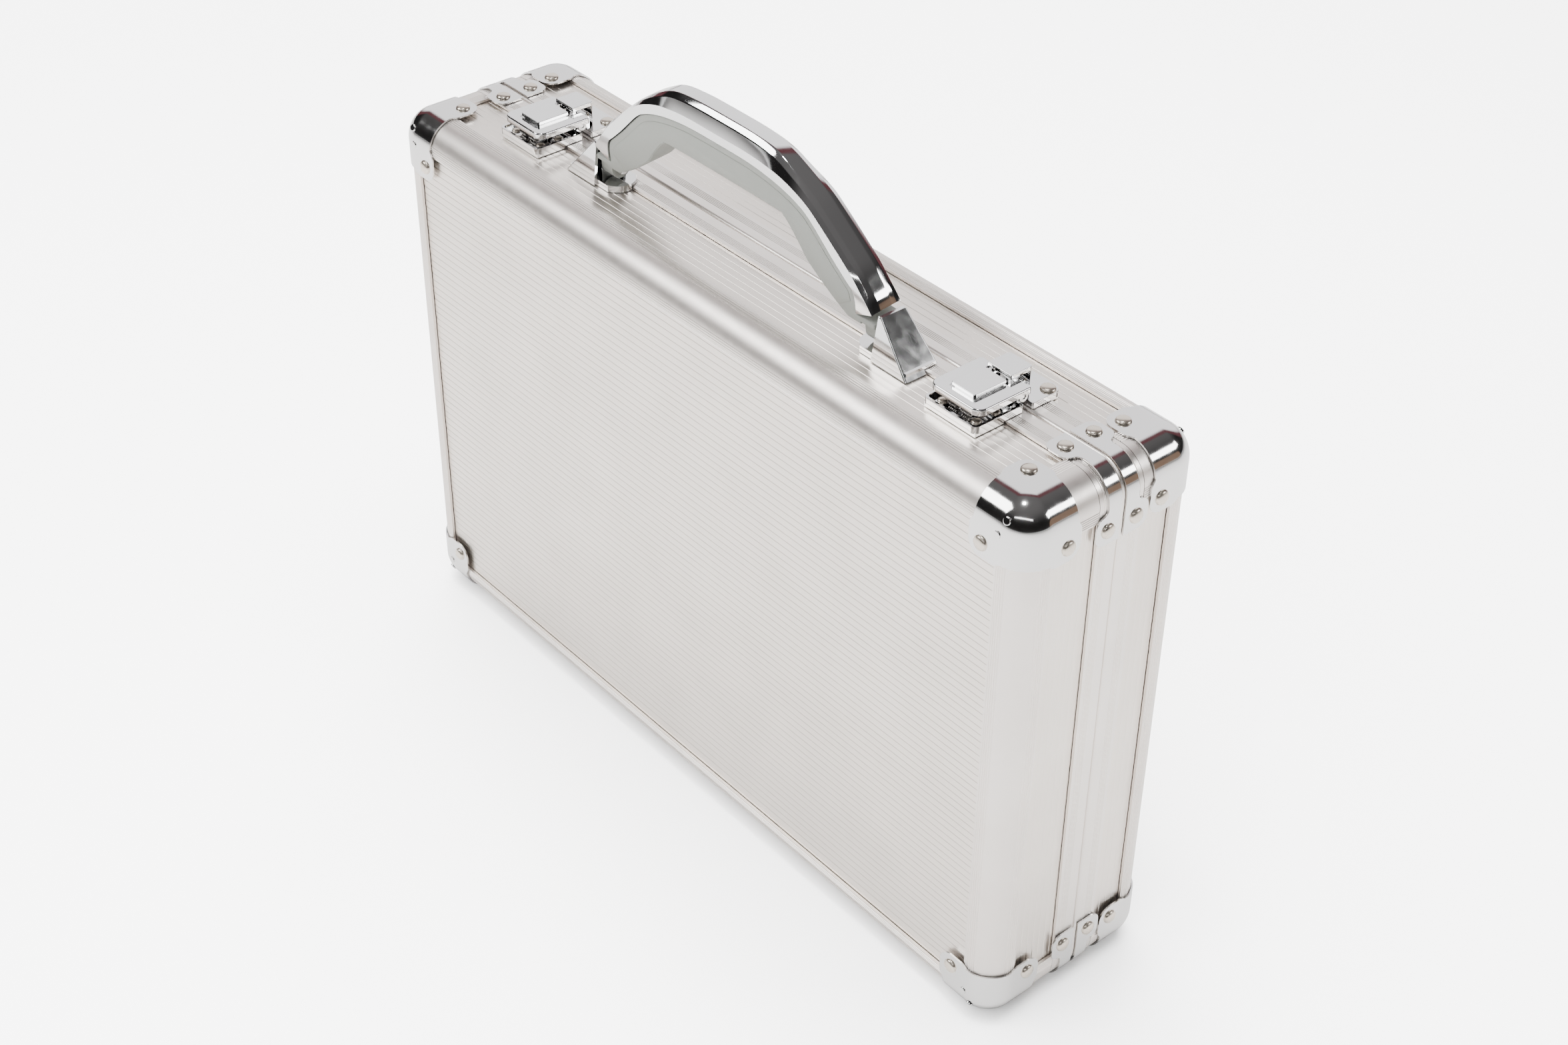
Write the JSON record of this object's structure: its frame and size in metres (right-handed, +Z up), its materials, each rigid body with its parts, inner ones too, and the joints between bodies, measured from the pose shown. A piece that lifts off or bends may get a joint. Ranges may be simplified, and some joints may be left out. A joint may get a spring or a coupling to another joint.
{
  "type": "attache case",
  "caption": "Small hard-shell aluminium attache case with ribbed panels, bright riveted corners, two draw latches, a folding handle and a lid hinged along its underside.",
  "frame": {"origin": "middle of the footprint, on the floor plane under the lowest rivet heads", "axes": "+X along the long side to the right, -Y towards the front (the base half, with the latch levers and the handle), +Y towards the back (the lid half), +Z up from the hinge edge to the handle edge"},
  "size_m": [0.4032, 0.0952, 0.3281],
  "materials": {
    "satin_aluminium": "satin anodised, warm light grey",
    "ribbed_aluminium": "satin, fine ribs along the sheet",
    "bright_chrome": "bright nickel-chrome plate",
    "hinge_steel": "plain plated steel",
    "grey_plastic": "matt greenish grey",
    "dark_felt": "short-pile felt lining"
  },
  "bodies": {
    "base": {"base_panel_front": "ribbed_aluminium", "base_panel_top": "ribbed_aluminium", "base_panel_bottom": "ribbed_aluminium", "base_panel_left": "ribbed_aluminium", "base_panel_right": "ribbed_aluminium", "base_edge_frame": "satin_aluminium", "base_rim": "satin_aluminium", "base_lining": "dark_felt", "base_post_top_left": "satin_aluminium", "base_post_top_right": "satin_aluminium", "base_post_bottom_left": "satin_aluminium", "base_post_bottom_right": "satin_aluminium", "base_corner_top_left": "bright_chrome", "base_corner_top_right": "bright_chrome", "base_corner_bottom_left": "bright_chrome", "base_corner_bottom_right": "bright_chrome", "base_clip_top_left": "bright_chrome", "base_clip_top_right": "bright_chrome", "base_clip_bottom_left": "bright_chrome", "base_clip_bottom_right": "bright_chrome", "latch_base_left": "bright_chrome", "latch_base_right": "bright_chrome", "handle_bracket_left": "bright_chrome", "handle_bracket_right": "bright_chrome", "handle_pin_left": "hinge_steel", "handle_pin_right": "hinge_steel", "hinge_leaf_base": "hinge_steel", "hinge_pin": "hinge_steel"},
    "lid": {"lid_panel_back": "ribbed_aluminium", "lid_panel_top": "ribbed_aluminium", "lid_panel_bottom": "ribbed_aluminium", "lid_panel_left": "ribbed_aluminium", "lid_panel_right": "ribbed_aluminium", "lid_edge_frame": "satin_aluminium", "lid_rim": "satin_aluminium", "lid_lining": "dark_felt", "lid_post_top_left": "satin_aluminium", "lid_post_top_right": "satin_aluminium", "lid_post_bottom_left": "satin_aluminium", "lid_post_bottom_right": "satin_aluminium", "lid_corner_top_left": "bright_chrome", "lid_corner_top_right": "bright_chrome", "lid_corner_bottom_left": "bright_chrome", "lid_corner_bottom_right": "bright_chrome", "lid_clip_top_left": "bright_chrome", "lid_clip_top_right": "bright_chrome", "lid_clip_bottom_left": "bright_chrome", "lid_clip_bottom_right": "bright_chrome", "latch_catch_left": "bright_chrome", "latch_catch_right": "bright_chrome", "hinge_leaf_lid": "hinge_steel"},
    "handle": {"handle_shell": "bright_chrome", "handle_grip": "grey_plastic"},
    "lever_left": {"latch_lever_left": "bright_chrome", "latch_pin_left": "hinge_steel"},
    "lever_right": {"latch_lever_right": "bright_chrome", "latch_pin_right": "hinge_steel"},
    "claw_left": {"latch_claw_left": "bright_chrome"},
    "claw_right": {"latch_claw_right": "bright_chrome"}
  },
  "joints": [
    {"name": "lid", "type": "hinge", "parent": "base", "child": "lid", "pos_m": [0, 0.0035, 0.0026], "axis": [-1, 0, 0], "range_deg": [0, 92]},
    {"name": "handle", "type": "hinge", "parent": "base", "child": "handle", "pos_m": [0, -0.0098, 0.2684], "axis": [1, 0, 0], "range_deg": [-80.5, 69.5]},
    {"name": "latch_lever_left", "type": "hinge", "parent": "base", "child": "lever_left", "pos_m": [-0.136, 0.001, 0.267], "axis": [-1, 0, 0], "range_deg": [0, 50]},
    {"name": "latch_lever_right", "type": "hinge", "parent": "base", "child": "lever_right", "pos_m": [0.136, 0.001, 0.267], "axis": [-1, 0, 0], "range_deg": [0, 50]},
    {"name": "latch_claw_left", "type": "hinge", "parent": "lever_left", "child": "claw_left", "pos_m": [-0.136, -0.004, 0.2659], "axis": [-1, 0, 0], "range_deg": [-50, 0]},
    {"name": "latch_claw_right", "type": "hinge", "parent": "lever_right", "child": "claw_right", "pos_m": [0.136, -0.004, 0.2659], "axis": [-1, 0, 0], "range_deg": [-50, 0]}
  ],
  "couplings": [
    {"joint": "latch_claw_left", "follows": "latch_lever_left", "ratio": -1},
    {"joint": "latch_claw_right", "follows": "latch_lever_right", "ratio": -1}
  ]
}
